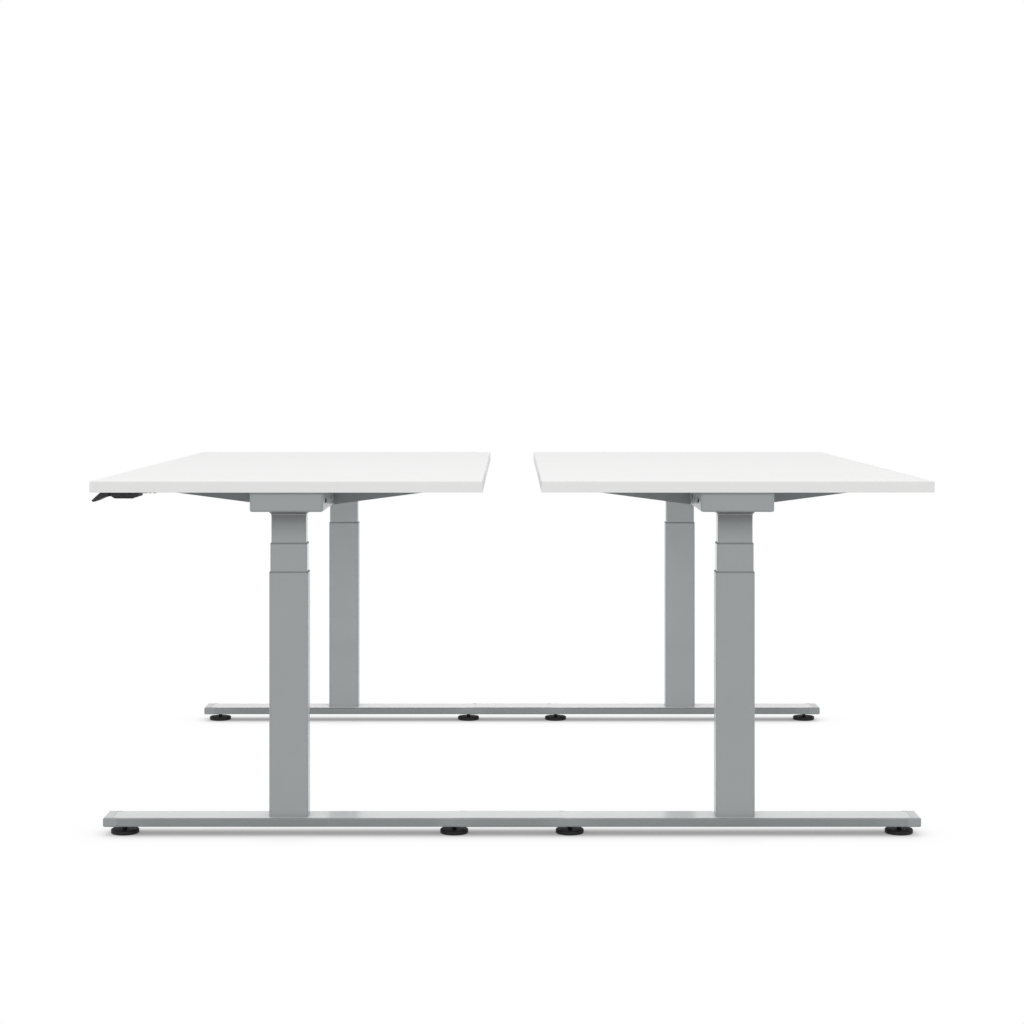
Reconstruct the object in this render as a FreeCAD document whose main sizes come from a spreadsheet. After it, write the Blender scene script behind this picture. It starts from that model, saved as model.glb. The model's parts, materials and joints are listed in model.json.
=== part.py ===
import FreeCAD, Part
import math
import os
from types import SimpleNamespace

import Sketcher

# Height-adjustable team desk: two desks back to back on two shared feet, in millimetres.
# X runs across the pair with the left desk at -X, Y along the desks with the front end at -Y,
# and Z up from the floor. The origin is on the floor under the middle of the pair.

Vector = FreeCAD.Vector

# Driving dimensions
SIZES = {
    # Tops
    "top_length": 1600,
    "top_width": 800,
    "top_gap": 120,
    "top_thickness": 23,
    "top_edge_round": 1,
    # Columns: place, and how far each stage stands out as the desk is drawn
    "column_inset": 75,
    "outer_length": 501.7,
    "middle_length": 502.5,
    "inner_length": 512,
    "middle_out": 56,
    "inner_out": 56.1,
    # Column tubes
    "outer_width": 80,
    "outer_depth": 50,
    "outer_round": 5,
    "tube_wall": 1.5,
    "stage_step": 2,
    "round_step": 0.5,
    "collar_height": 3,
    "collar_bevel": 1.2,
    "run_clearance": 0.3,
    "seat_clearance": 0.05,
    "base_plate": 4,
    "middle_plate": 5,
    "nut_plate": 6,
    # Flared collar between the inner tube and the head box
    "lip_height": 2.9,
    "lip_proud": 0.7,
    "flare_height": 7.5,
    "flare_spread": 7.5,
    # Spindle drive
    "post_diameter": 14,
    "post_bore": 10,
    "post_length": 440,
    "spindle_diameter": 20,
    "spindle_bore": 15,
    "spindle_length": 490,
    "spindle_flange": 30,
    "spindle_flange_thickness": 2,
    "spindle_bush": 12,
    "shaft_flats": 8,
    "shaft_length": 468,
    "shaft_journal": 10,
    "shaft_journal_length": 20,
    # Foot rails, their middle joint and end caps
    "foot_bottom": 19.5,
    "foot_width": 76,
    "foot_height": 18.3,
    "foot_wall": 2,
    "foot_round": 3.5,
    "rail_length": 702,
    "rail_tab": 10,
    "cap_length": 29,
    "cap_round": 3.4,
    "cap_proud": 0.4,
    "seam_gap": 0.15,
    "plug_length": 45,
    "plug_clearance": 0.3,
    # Screws that hold each column to its rail
    "base_screw_x": 26,
    "base_screw_y": 15,
    "base_screw_diameter": 8,
    "base_screw_head": 13,
    "base_screw_head_height": 5,
    "base_screw_access": 16,
    # Levelling feet
    "pad_diameter": 58,
    "pad_thickness": 9,
    "pad_bevel": 1.5,
    "hub_flats": 9,
    "stud_diameter": 8,
    "stud_length": 15,
    "stud_inset": 10.5,
    # Head boxes
    "head_width": 150,
    "head_front": 70,
    "head_back": 205,
    "head_height": 40,
    "head_wall": 2,
    "head_round": 8,
    "head_bottom_round": 4,
    "head_floor_hole": 26,
    "side_slot_length": 38,
    "side_slot_height": 9,
    "rear_slot_length": 24,
    "rear_slot_height": 8,
    "rear_slot_y": 138,
    "slot_middle": 19.5,
    # Gear motors
    "gearbox_width": 62,
    "gearbox_length": 54,
    "gearbox_height": 31,
    "gearbox_round": 6,
    "motor_diameter": 33,
    "motor_length": 150,
    "motor_end_diameter": 20,
    "motor_end_length": 6,
    # Support arms
    "arm_half": 280,
    "arm_width": 36,
    "arm_wall": 2.5,
    "arm_root_depth": 41,
    "arm_tip_depth": 14,
    "arm_root_half": 75,
    "arm_screw_inner": 110,
    "arm_screw_outer": 250,
    # Crossbars
    "crossbar_offset": 55,
    "crossbar_width": 30,
    "crossbar_depth": 34,
    "crossbar_wall": 2,
    "crossbar_drop": 3,
    "crossbar_end_plate": 3,
    # Control boxes
    "control_offset": 180,
    "control_width": 100,
    "control_length": 240,
    "control_depth": 32,
    "control_round": 6,
    "control_bottom_round": 2,
    "control_lug_offset": 25,
    "control_lug_width": 30,
    "control_lug_length": 18,
    "control_lug_thickness": 3,
    "socket_width": 12,
    "socket_height": 9,
    "socket_depth": 10,
    "socket_pitch": 20,
    "inlet_width": 27,
    "inlet_height": 20,
    "inlet_depth": 16,
    # Handsets with a tilting paddle
    "handset_inset": 100,
    "handset_length": 70,
    "handset_setback": 22,
    "handset_depth": 59.5,
    "handset_drop": 18,
    "handset_corner": 12,
    "handset_round": 1.2,
    "paddle_reach": 15,
    "paddle_depth": 36,
    "paddle_top": 2,
    "paddle_drop": 23,
    "paddle_round": 1.2,
    "pivot_back": 17,
    "pivot_drop": 6,
    "pivot_pin": 3,
    "pivot_pin_length": 12,
    "ear_width": 6,
    "ear_pitch": 36,
    "ear_radius": 3.2,
    "slot_radius": 4.4,
    # Handset leads
    "lead_diameter": 4,
    "lead_drop": 5.6,
    "lead_run": 200,
    "lead_bend": 45,
    "lead_hole": 7,
    "lead_plug": 8,
    "relief_diameter": 7,
    "relief_length": 32,
    # Clips that hold the leads up
    "clip_base": 14,
    "clip_base_thickness": 1.5,
    "clip_width": 8,
    "clip_neck": 4,
    "clip_wall": 1.2,
    # Wood screws into the tops
    "screw_diameter": 4,
    "screw_length": 18,
    "screw_head": 8,
    "screw_head_height": 2.5,
    "screw_hole": 5,
    "pilot_depth": 17,
    "handset_screw_pitch": 40,
    # One overrun for every cut
    "overrun": 5,
}

# Corner of a hexagon beside its flat, as a share of half the distance across the flats
HEX_SIDE_SHARE = math.tan(math.radians(30))

# Radius of a slot's ends, as a share of its height
SLOT_ROUND_SHARE = 0.48

# Side view of the handset's housing, as shares of its depth and drop, from its front corner
HOUSING_SHARES = ((0, 0), (0.055, 0.74), (0.19, 1), (0.82, 1), (0.9, 0.82), (1, 0.82), (1, 0))

# Side view of the paddle, as shares of its depth and drop, from its tip
PADDLE_SHARES = (
    (0, 0.85), (0.53, 0.09), (0.69, 0.03), (0.95, 0),
    (1, 0.52), (0.78, 0.55), (0.16, 1), (0.02, 0.97),
)

# Start and end of each rib of the lead's strain relief, as shares of its length
RELIEF_RIB_SHARES = ((0, 0.43), (0.54, 0.70), (0.80, 1))

# Places of the lead's clips, as shares of its straight runs from the bend to the arm
# and from the arm to the control box
BEND_CLIP_SHARES = (0.25,)
CONTROL_CLIP_SHARES = (0.25, 0.75)

DESKS = ("left", "right")
ENDS = ("front", "rear")

# How far apart two places of the same edge may come out, in millimetres
SAME_PLACE = 1e-6


class Length:
    """A size, as its number and as the expression that ties a property to the sheet."""

    def __init__(self, value, text):
        self.value = value
        self.text = text

    def joined(self, sign, other, value):
        other_text = other.text if isinstance(other, Length) else repr(other)
        return Length(value, f"({self.text} {sign} {other_text})")

    def __add__(self, other):
        return self.joined("+", other, self.value + float(other))

    def __sub__(self, other):
        return self.joined("-", other, self.value - float(other))

    def __mul__(self, other):
        return self.joined("*", other, self.value * float(other))

    def __truediv__(self, other):
        return self.joined("/", other, self.value / float(other))

    def __neg__(self):
        return self * -1

    def __float__(self):
        return float(self.value)


doc = FreeCAD.newDocument("team_desk")
sheet = doc.addObject("Spreadsheet::Sheet", "dims")


def fill_sheet():
    """Writes each driving dimension to the sheet and returns them as lengths."""
    for row, (name, value) in enumerate(SIZES.items(), start=1):
        sheet.set(f"A{row}", name)
        sheet.set(f"B{row}", str(value))
        sheet.setAlias(f"B{row}", name)
    doc.recompute()
    return SimpleNamespace(**{name: Length(sheet.get(name), f"dims.{name}") for name in SIZES})


d = fill_sheet()

# Heights and places that follow from the driving dimensions
column_x = (d.top_gap + d.top_width) / 2
column_y = d.top_length / 2 - d.column_inset
foot_top = d.foot_bottom + d.foot_height
outer_top = foot_top + d.outer_length
middle_top = outer_top + d.collar_height + d.middle_out
head_bottom = middle_top + d.collar_height + d.inner_out + d.lip_height + d.flare_height
top_underside = head_bottom + d.head_height
middle_bottom = middle_top - d.middle_length
inner_bottom = head_bottom - d.inner_length
head_floor = head_bottom + d.head_wall
shaft_bottom = head_floor - d.shaft_length
stud_x = d.rail_length / 2 - d.stud_inset
joint_length = (column_x - d.rail_length / 2) * 2
middle_width = d.outer_width - d.stage_step * 2
middle_depth = d.outer_depth - d.stage_step * 2
middle_round = d.outer_round - d.round_step
inner_width = middle_width - d.stage_step * 2
inner_depth = middle_depth - d.stage_step * 2
inner_round = middle_round - d.round_step
arm_front = d.head_back
arm_middle = d.head_back + d.arm_width / 2
arm_line = column_y - arm_middle
crossbar_length = (column_y - d.head_back - d.arm_width) * 2
user_edge = d.top_width / 2
handset_front = d.top_length / 2 - d.handset_inset
handset_middle = handset_front - d.handset_length / 2
housing_front = user_edge - d.handset_setback
housing_back = housing_front - d.handset_depth
handset_screw_x = -(housing_front - d.handset_depth / 2)
pivot_x = user_edge - d.pivot_back
lead_bend_x = -d.lead_run - d.lead_bend
lead_bend_y = d.lead_bend - handset_middle
lead_end = d.control_length / -2
lug_line = d.control_length / 2 + d.control_lug_length / 2
lug_x = d.control_offset - d.control_lug_offset


def bind(obj, path, size):
    """Ties one property of an object to the sheet; plain zero leaves it as it is."""
    if isinstance(size, Length):
        obj.setExpression(path, size.text)


def place(obj, x=0, y=0, z=0, turned=False):
    """Places an object, turned half a turn about Z where asked."""
    half_turn = FreeCAD.Rotation(Vector(0, 0, 1), 180 if turned else 0)
    obj.Placement = FreeCAD.Placement(Vector(), half_turn)
    for axis, size in zip("xyz", (x, y, z)):
        bind(obj, f"Placement.Base.{axis}", size)


class Piece:
    """A body of the document, with short calls for the features that these parts need."""

    def __init__(self, label):
        self.body = doc.addObject("PartDesign::Body", label)
        self.body.Label = label
        self.count = 0

    def feature(self, kind):
        self.count += 1
        return self.body.newObject(kind, f"{self.body.Name}_{self.count}")

    def sketch(self, plane, x=0, y=0, z=0):
        """A sketch on one of the body's own origin planes, moved in the plane's own axes."""
        sketch = self.feature("Sketcher::SketchObject")
        support = next(f for f in self.body.Origin.OriginFeatures if f.Role == f"{plane}_Plane")
        sketch.AttachmentSupport = [(support, "")]
        sketch.MapMode = "FlatFace"
        for axis, size in zip("xyz", (x, y, z)):
            bind(sketch, f"AttachmentOffset.Base.{axis}", size)
        return sketch

    def pad(self, sketch, length, both_ways=False, backwards=False):
        pad = self.feature("PartDesign::Pad")
        pad.Profile = sketch
        bind(pad, "Length", length)
        pad.Midplane = both_ways
        pad.Reversed = backwards
        return pad

    def pocket(self, sketch, length, both_ways=False, backwards=False):
        """A cut against the sketch's normal, which has to take something away."""
        doc.recompute()
        before = self.body.Shape.Volume
        pocket = self.feature("PartDesign::Pocket")
        pocket.Profile = sketch
        bind(pocket, "Length", length)
        pocket.Midplane = both_ways
        pocket.Reversed = backwards
        doc.recompute()
        if pocket.Shape.Volume >= before:
            raise ValueError(f"{self.body.Label}: {pocket.Name} cuts nothing")
        return pocket

    def edges(self, chosen):
        """Names of the body's edges that the test picks."""
        doc.recompute()
        found = enumerate(self.body.Shape.Edges, start=1)
        return [f"Edge{number}" for number, edge in found if chosen(local_edge(self.body, edge))]

    def fillet(self, chosen, radius):
        names = self.edges(chosen)
        base = self.body.Tip
        fillet = self.feature("PartDesign::Fillet")
        fillet.Base = (base, names)
        bind(fillet, "Radius", radius)
        return fillet

    def chamfer(self, chosen, size):
        names = self.edges(chosen)
        base = self.body.Tip
        chamfer = self.feature("PartDesign::Chamfer")
        chamfer.Base = (base, names)
        bind(chamfer, "Size", size)
        return chamfer

    def loft(self, first, second):
        loft = self.feature("PartDesign::AdditiveLoft")
        loft.Profile = first
        loft.Sections = [second]
        return loft

    def pipe(self, profile, path):
        pipe = self.feature("PartDesign::AdditivePipe")
        pipe.Profile = profile
        pipe.Spine = (path, [])
        return pipe

    def revolve(self, sketch):
        revolution = self.feature("PartDesign::Revolution")
        revolution.Profile = sketch
        revolution.ReferenceAxis = (sketch, ["V_Axis"])
        return revolution


def local_edge(body, edge):
    """An edge's box in its own body's frame."""
    edge = edge.copy()
    edge.Placement = body.Placement.inverse().multiply(edge.Placement)
    return edge.BoundBox


def spans(low, high, wanted_low, wanted_high):
    """Whether an edge runs from one place to another along an axis."""
    return abs(low - float(wanted_low)) < SAME_PLACE and abs(high - float(wanted_high)) < SAME_PLACE


def at_height(height):
    """Picks the edges that lie flat at one height of the body."""
    return lambda box: spans(box.ZMin, box.ZMax, height, height)


def at_x(place_x):
    """Picks the edges that lie in one plane across the body."""
    return lambda box: spans(box.XMin, box.XMax, place_x, place_x)


def along_handset(box):
    """Picks the edges that run the whole length of a handset."""
    return spans(box.YMin, box.YMax, -handset_front, d.handset_length - handset_front)


def tie(sketch, kind, places, size):
    """A sketch constraint whose value follows the sheet."""
    number = sketch.addConstraint(Sketcher.Constraint(kind, *places, float(size)))
    name = f"{kind}{number}"
    sketch.renameConstraint(number, name)
    bind(sketch, f"Constraints.{name}", size)


def fix_point(sketch, places, x, y):
    """Ties a point of a sketch to its place from the sketch's origin."""
    for kind, size in (("DistanceX", x), ("DistanceY", y)):
        if isinstance(size, Length):
            tie(sketch, kind, (-1, 1, *places), size)
        else:
            axis = -2 if kind == "DistanceX" else -1
            sketch.addConstraint(Sketcher.Constraint("PointOnObject", *places, axis))


def circle(sketch, diameter, x=0, y=0):
    centre = Vector(float(x), float(y), 0)
    number = sketch.addGeometry(Part.Circle(centre, Vector(0, 0, 1), float(diameter) / 2))
    tie(sketch, "Diameter", (number,), diameter)
    fix_point(sketch, (number, 3), x, y)


def outline(sketch, points):
    """A closed outline of straight lines through points given as lengths."""
    first = len(sketch.Geometry)
    count = len(points)
    corners = [Vector(float(x), float(y), 0) for x, y in points]
    for number in range(count):
        sketch.addGeometry(Part.LineSegment(corners[number], corners[(number + 1) % count]))
    for number in range(count):
        following = first + (number + 1) % count
        sketch.addConstraint(Sketcher.Constraint("Coincident", first + number, 2, following, 1))
    for number, (x, y) in enumerate(points):
        fix_point(sketch, (first + number, 1), x, y)


def rectangle(sketch, width, height, x=0, y=0):
    """A rectangle round a point of the sketch."""
    left, right = width / -2 + x, width / 2 + x
    low, high = height / -2 + y, height / 2 + y
    outline(sketch, ((left, low), (right, low), (right, high), (left, high)))


def rounded_rectangle(sketch, width, height, radius):
    """A rectangle round the sketch's origin whose corners are arcs."""
    first = len(sketch.Geometry)
    x, y, r = float(width) / 2, float(height) / 2, float(radius)
    quarter = math.pi / 2
    sides = (
        ((r - x, -y), (x - r, -y)),
        ((x, r - y), (x, y - r)),
        ((x - r, y), (r - x, y)),
        ((-x, y - r), (-x, r - y)),
    )
    for start, end in sides:
        sketch.addGeometry(Part.LineSegment(Vector(*start, 0), Vector(*end, 0)))
    centres = ((x - r, r - y), (x - r, y - r), (r - x, y - r), (r - x, r - y))
    for number, centre in enumerate(centres):
        round_corner = Part.Circle(Vector(*centre, 0), Vector(0, 0, 1), r)
        start = quarter * (number - 1)
        sketch.addGeometry(Part.ArcOfCircle(round_corner, start, start + quarter))
    for number in range(4):
        arc = first + 4 + number
        sketch.addConstraint(Sketcher.Constraint("Tangent", first + number, 2, arc, 1))
        sketch.addConstraint(Sketcher.Constraint("Tangent", arc, 2, first + (number + 1) % 4, 1))
        level = "Horizontal" if number % 2 == 0 else "Vertical"
        sketch.addConstraint(Sketcher.Constraint(level, first + number))
        if number:
            sketch.addConstraint(Sketcher.Constraint("Equal", first + 4, arc))
    sketch.addConstraint(Sketcher.Constraint("Symmetric", first + 4, 3, first + 6, 3, -1, 1))
    tie(sketch, "DistanceX", (first + 3, 1, first + 1, 1), width)
    tie(sketch, "DistanceY", (first, 1, first + 2, 1), height)
    tie(sketch, "Radius", (first + 4,), radius)


def hexagon(sketch, flats):
    """A regular hexagon round the sketch's origin, with two flats square to X."""
    half, side = flats / 2, flats / 2 * HEX_SIDE_SHARE
    top = side * 2
    outline(sketch, ((half, -side), (half, side), (0, top), (-half, side), (-half, -side), (0, -top)))


def tube_section(sketch, width, depth, radius, wall):
    """Outer and inner outline of a rectangular tube."""
    rounded_rectangle(sketch, width, depth, radius)
    rounded_rectangle(sketch, width - wall * 2, depth - wall * 2, radius - wall)


def column_places():
    """Each column's names and place: desk, end, X, Y and whether it is turned."""
    for desk in DESKS:
        for end in ENDS:
            x = -column_x if desk == "left" else column_x
            y = -column_y if end == "front" else column_y
            yield desk, end, x, y, end == "rear"


def four_places(x, y):
    """The four corners at a distance either side of both axes."""
    return [(x * across, y * along) for across in (-1, 1) for along in (-1, 1)]


def foot_rail(label, x, y):
    """One foot rail: a flat tube whose top wall runs on past its sides at both ends."""
    piece = Piece(label)
    section = piece.sketch("YZ", y=d.foot_height / 2)
    tube_section(section, d.foot_width, d.foot_height, d.foot_round, d.foot_wall)
    piece.pad(section, d.rail_length, both_ways=True)
    tab = piece.sketch("YZ", y=d.foot_height - d.foot_wall / 2)
    rectangle(tab, d.foot_width - d.foot_round * 2, d.foot_wall)
    piece.pad(tab, d.rail_length + d.rail_tab * 2, both_ways=True)
    above = piece.sketch("XY", z=d.foot_height)
    below = piece.sketch("XY")
    for hole_x, hole_y in four_places(d.base_screw_x, d.base_screw_y):
        circle(above, d.base_screw_diameter + d.run_clearance * 2, hole_x, hole_y)
        circle(below, d.base_screw_access, hole_x, hole_y)
    for side in (-1, 1):
        circle(below, d.stud_diameter + d.run_clearance * 2, stud_x * side, 0)
    piece.pocket(above, d.foot_height / 2)
    piece.pocket(below, d.foot_height / 2, backwards=True)
    place(piece.body, x, y, d.foot_bottom)
    return piece.body


def foot_insert_section(sketch):
    """Outline of the visible body of a foot's cap or joint, a little proud of the rail."""
    proud = d.cap_proud * 2
    rounded_rectangle(sketch, d.foot_width + proud, d.foot_height + proud, d.foot_round + d.cap_proud)


def foot_plug_section(sketch):
    """Outline of the plug that sits inside a rail."""
    inset = (d.foot_wall + d.plug_clearance) * 2
    rounded_rectangle(sketch, d.foot_width - inset, d.foot_height - inset, d.foot_round - d.foot_wall)


def foot_tab_notch(piece, ends):
    """Cuts the steps in a cap's or joint's top where the rail's top wall runs on."""
    notch = piece.sketch("XY", z=d.foot_height - d.foot_wall)
    width = d.foot_width - d.foot_round * 2 + d.seam_gap * 2
    for end in ends:
        rectangle(notch, (d.rail_tab + d.seam_gap) * 2, width, x=end)
    piece.pocket(notch, d.foot_wall + d.overrun, backwards=True)


def foot_stud_bore(piece, places):
    """Bores a cap's or joint's plugs for the levelling feet."""
    bore = piece.sketch("XY", z=d.foot_height)
    for bore_x in places:
        circle(bore, d.stud_diameter + d.run_clearance * 2, bore_x, 0)
    piece.pocket(bore, d.foot_height)


def foot_end_cap(label, x, y, turned):
    """A foot's end cap: a rounded nose with a plug that sits in the rail."""
    piece = Piece(label)
    nose = piece.sketch("YZ", y=d.foot_height / 2, z=d.seam_gap)
    foot_insert_section(nose)
    piece.pad(nose, d.cap_length - d.seam_gap)
    piece.fillet(at_x(d.cap_length), d.cap_round)
    foot_tab_notch(piece, [0])
    plug = piece.sketch("YZ", y=d.foot_height / 2, z=d.seam_gap)
    foot_plug_section(plug)
    piece.pad(plug, d.plug_length + d.seam_gap, backwards=True)
    foot_stud_bore(piece, [-d.stud_inset])
    place(piece.body, x, y, d.foot_bottom, turned)
    return piece.body


def foot_joint(label, y):
    """The joint in the middle of a foot, with a plug for each rail."""
    piece = Piece(label)
    middle = piece.sketch("YZ", y=d.foot_height / 2)
    foot_insert_section(middle)
    piece.pad(middle, joint_length - d.seam_gap * 2, both_ways=True)
    half = joint_length / 2
    foot_tab_notch(piece, [-half, half])
    plug = piece.sketch("YZ", y=d.foot_height / 2)
    foot_plug_section(plug)
    piece.pad(plug, joint_length + d.plug_length * 2, both_ways=True)
    foot_stud_bore(piece, [-half - d.stud_inset, half + d.stud_inset])
    place(piece.body, 0, y, d.foot_bottom)
    return piece.body


def levelling_foot(label, x, y):
    """A levelling foot: a bevelled round pad with a hexagon hub under a threaded stud."""
    piece = Piece(label)
    pad = piece.sketch("XY")
    circle(pad, d.pad_diameter)
    piece.pad(pad, d.pad_thickness)
    piece.chamfer(lambda box: box.ZLength < SAME_PLACE, d.pad_bevel)
    hub = piece.sketch("XY", z=d.pad_thickness)
    hexagon(hub, d.hub_flats)
    piece.pad(hub, d.foot_bottom - d.pad_thickness)
    stud = piece.sketch("XY", z=d.foot_bottom)
    circle(stud, d.stud_diameter)
    piece.pad(stud, d.stud_length)
    place(piece.body, x, y)
    return piece.body


def outer_tube(label, x, y):
    """A column's outer tube with the base plate that its screws and spindle post sit in."""
    piece = Piece(label)
    section = piece.sketch("XY")
    tube_section(section, d.outer_width, d.outer_depth, d.outer_round, d.tube_wall)
    piece.pad(section, d.outer_length)
    plate = piece.sketch("XY")
    inset = d.tube_wall
    rounded_rectangle(plate, d.outer_width - inset, d.outer_depth - inset, d.outer_round - inset / 2)
    circle(plate, d.post_diameter + d.seat_clearance * 2)
    for hole_x, hole_y in four_places(d.base_screw_x, d.base_screw_y):
        circle(plate, d.base_screw_diameter + d.seat_clearance * 2, hole_x, hole_y)
    piece.pad(plate, d.base_plate)
    place(piece.body, x, y, foot_top)
    return piece.body


def tube_collar(label, x, y, z, outside, inside):
    """A bevelled collar on the end of a tube, round the next stage."""
    piece = Piece(label)
    section = piece.sketch("XY")
    rounded_rectangle(section, *outside)
    width, depth, radius = inside
    gap = d.run_clearance * 2
    rounded_rectangle(section, width + gap, depth + gap, radius)
    piece.pad(section, d.collar_height)
    on_top = at_height(d.collar_height)
    hole_x, hole_y = float((width + gap) / 2), float((depth + gap) / 2)

    def top_rim(box):
        past_x = max(-box.XMin, box.XMax) - hole_x > SAME_PLACE
        past_y = max(-box.YMin, box.YMax) - hole_y > SAME_PLACE
        return on_top(box) and (past_x or past_y)

    piece.chamfer(top_rim, d.collar_bevel)
    place(piece.body, x, y, z)
    return piece.body


def middle_tube(label, x, y):
    """A column's middle tube with the plate at its foot that carries the spindle tube."""
    piece = Piece(label)
    section = piece.sketch("XY")
    tube_section(section, middle_width, middle_depth, middle_round, d.tube_wall)
    piece.pad(section, d.middle_length)
    plate = piece.sketch("XY")
    inset = d.tube_wall
    rounded_rectangle(plate, middle_width - inset, middle_depth - inset, middle_round - inset / 2)
    circle(plate, d.spindle_diameter + d.run_clearance * 2)
    piece.pad(plate, d.middle_plate)
    place(piece.body, x, y, middle_bottom)
    return piece.body


def inner_tube(label, x, y):
    """A column's inner tube, with its lift nut below and its flared collar under the head box."""
    piece = Piece(label)
    flare_foot = piece.sketch("XY", z=d.inner_length - d.flare_height)
    lip = d.lip_proud * 2
    rounded_rectangle(flare_foot, inner_width + lip, inner_depth + lip, inner_round + d.lip_proud)
    flare_top = piece.sketch("XY", z=d.inner_length)
    spread = d.flare_spread * 2
    rounded_rectangle(flare_top, inner_width + spread, inner_depth + spread, inner_round + d.lip_proud)
    piece.loft(flare_foot, flare_top)
    band = piece.sketch("XY", z=d.inner_length - d.flare_height)
    rounded_rectangle(band, inner_width + lip, inner_depth + lip, inner_round + d.lip_proud)
    piece.pad(band, d.lip_height, backwards=True)
    tube = piece.sketch("XY")
    rounded_rectangle(tube, inner_width, inner_depth, inner_round)
    piece.pad(tube, d.inner_length)
    hollow = piece.sketch("XY", z=d.nut_plate)
    wall = d.tube_wall * 2
    rounded_rectangle(hollow, inner_width - wall, inner_depth - wall, inner_round - d.tube_wall)
    piece.pocket(hollow, d.inner_length, backwards=True)
    nut = piece.sketch("XY")
    circle(nut, d.spindle_diameter + d.run_clearance * 2)
    piece.pocket(nut, d.nut_plate, backwards=True)
    place(piece.body, x, y, inner_bottom)
    return piece.body


def spindle_post(label, x, y):
    """The hollow screw that stands on a column's base plate."""
    piece = Piece(label)
    section = piece.sketch("XY")
    circle(section, d.post_diameter)
    circle(section, d.post_bore)
    piece.pad(section, d.post_length)
    place(piece.body, x, y, foot_top)
    return piece.body


def spindle_tube(label, x, y):
    """The turning spindle tube that climbs the post and lifts the inner tube's nut."""
    piece = Piece(label)
    section = piece.sketch("XY")
    circle(section, d.spindle_diameter)
    circle(section, d.spindle_bore)
    piece.pad(section, d.spindle_length)
    flange = piece.sketch("XY", z=d.middle_plate)
    circle(flange, d.spindle_flange)
    circle(flange, d.spindle_bore)
    piece.pad(flange, d.spindle_flange_thickness)
    bush = piece.sketch("XY", z=d.spindle_length)
    circle(bush, (d.spindle_diameter + d.spindle_bore) / 2)
    hexagon(bush, d.shaft_flats + d.run_clearance * 2)
    piece.pad(bush, d.spindle_bush, backwards=True)
    place(piece.body, x, y, middle_bottom)
    return piece.body


def drive_shaft(label, x, y):
    """The hexagon shaft that hangs from the gearbox and turns the spindle tube."""
    piece = Piece(label)
    shaft = piece.sketch("XY")
    hexagon(shaft, d.shaft_flats)
    piece.pad(shaft, d.shaft_length)
    journal = piece.sketch("XY", z=d.shaft_length)
    circle(journal, d.shaft_journal)
    piece.pad(journal, d.shaft_journal_length)
    place(piece.body, x, y, shaft_bottom)
    return piece.body


def head_box(label, x, y, turned):
    """The open-topped housing on a column, under the top, that holds the gear motor."""
    piece = Piece(label)
    length = d.head_front + d.head_back
    middle = (d.head_back - d.head_front) / 2
    shell = piece.sketch("XY", y=middle)
    rounded_rectangle(shell, d.head_width, length, d.head_round)
    piece.pad(shell, d.head_height)
    piece.fillet(at_height(0), d.head_bottom_round)
    inside = piece.sketch("XY", y=middle, z=d.head_wall)
    wall = d.head_wall * 2
    rounded_rectangle(inside, d.head_width - wall, length - wall, d.head_round - d.head_wall)
    piece.pocket(inside, d.head_height, backwards=True)
    floor_hole = piece.sketch("XY")
    circle(floor_hole, d.head_floor_hole)
    piece.pocket(floor_hole, d.head_wall, backwards=True)
    for slot_y, slot_length, slot_height in (
        (0, d.side_slot_length, d.side_slot_height),
        (d.rear_slot_y, d.rear_slot_length, d.rear_slot_height),
    ):
        slot = piece.sketch("YZ", x=slot_y, y=d.slot_middle)
        rounded_rectangle(slot, slot_length, slot_height, slot_height * SLOT_ROUND_SHARE)
        piece.pocket(slot, d.head_width + d.overrun, both_ways=True)
    place(piece.body, x, y, head_bottom, turned)
    return piece.body


def gear_motor(label, x, y, turned):
    """A gearbox over the column's axis with its motor lying along the head box."""
    piece = Piece(label)
    gearbox = piece.sketch("XY")
    rounded_rectangle(gearbox, d.gearbox_width, d.gearbox_length, d.gearbox_round)
    piece.pad(gearbox, d.gearbox_height)
    axis_height = d.motor_diameter / 2 + d.run_clearance
    can = piece.sketch("XZ", y=axis_height)
    circle(can, d.motor_diameter)
    piece.pad(can, d.gearbox_length / 2 + d.motor_length, backwards=True)
    end = piece.sketch("XZ", y=axis_height)
    circle(end, d.motor_end_diameter)
    piece.pad(end, d.gearbox_length / 2 + d.motor_length + d.motor_end_length, backwards=True)
    bore = piece.sketch("XY")
    circle(bore, d.shaft_journal + d.run_clearance * 2)
    piece.pocket(bore, d.shaft_journal_length + d.run_clearance, backwards=True)
    place(piece.body, x, y, head_floor, turned)
    return piece.body


def support_arm(label, x, y, turned):
    """A folded arm across the end of a top, deep behind the head box and shallow at its tips."""
    piece = Piece(label)
    side = piece.sketch("XZ", z=-arm_front)
    outline(side, (
        (-d.arm_half, 0),
        (-d.arm_half, -d.arm_tip_depth),
        (-d.arm_root_half, -d.arm_root_depth),
        (d.arm_root_half, -d.arm_root_depth),
        (d.arm_half, -d.arm_tip_depth),
        (d.arm_half, 0),
    ))
    piece.pad(side, d.arm_width, backwards=True)
    wall = d.arm_wall * 2
    fold = piece.sketch("XY", y=arm_middle, z=-d.arm_wall)
    rectangle(fold, d.arm_half * 2 - wall, d.arm_width - wall)
    piece.pocket(fold, d.arm_root_depth)
    holes = piece.sketch("XY", y=arm_middle)
    for across in (-1, 1):
        for hole_x in (d.arm_screw_inner, d.arm_screw_outer):
            circle(holes, d.screw_hole, hole_x * across, 0)
    piece.pocket(holes, d.arm_wall)
    lead_holes = piece.sketch("XZ", z=-arm_front)
    for across in (-1, 1):
        circle(lead_holes, d.lead_hole, d.lead_run * across, -d.lead_drop - d.run_clearance)
    piece.pocket(lead_holes, d.arm_width)
    place(piece.body, x, y, top_underside, turned)
    return piece.body


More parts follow.
